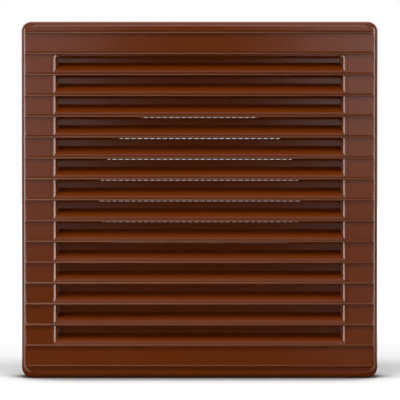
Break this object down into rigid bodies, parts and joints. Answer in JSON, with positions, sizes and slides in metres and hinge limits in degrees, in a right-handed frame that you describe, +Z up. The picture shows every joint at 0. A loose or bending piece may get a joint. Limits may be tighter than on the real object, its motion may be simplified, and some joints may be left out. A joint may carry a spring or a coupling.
{
  "type": "ventilation grille",
  "caption": "Square brown plastic louvred wall grille with a push-on front, a screwed wall frame, a round duct collar and an insect screen.",
  "frame": {"origin": "on the duct's axis in the plane of the wall, which is the back of the wall frame and the centre of the four wall screws", "axes": "+Z up, +Y into the wall along the duct's axis, and the louvred front faces -Y"},
  "size_m": [0.2, 0.054, 0.2],
  "materials": {
    "brown_gloss": "semi-gloss moulded, chestnut brown",
    "brown_moulding": "semi-gloss moulded, chestnut brown",
    "brown_screen": "satin moulded, dark brown",
    "zinc_steel": "zinc plated"
  },
  "bodies": {
    "wall_side": {"wall_frame": "brown_moulding", "duct_collar": "brown_moulding", "insect_screen": "brown_screen", "screw_top_left": "zinc_steel", "screw_top_right": "zinc_steel", "screw_bottom_left": "zinc_steel", "screw_bottom_right": "zinc_steel"},
    "front": {"front_grille": "brown_gloss"}
  },
  "joints": [
    {"name": "front_pull", "type": "slide", "parent": "wall_side", "child": "front", "axis": [0, -1, 0], "range_m": [0, 0.04]}
  ]
}
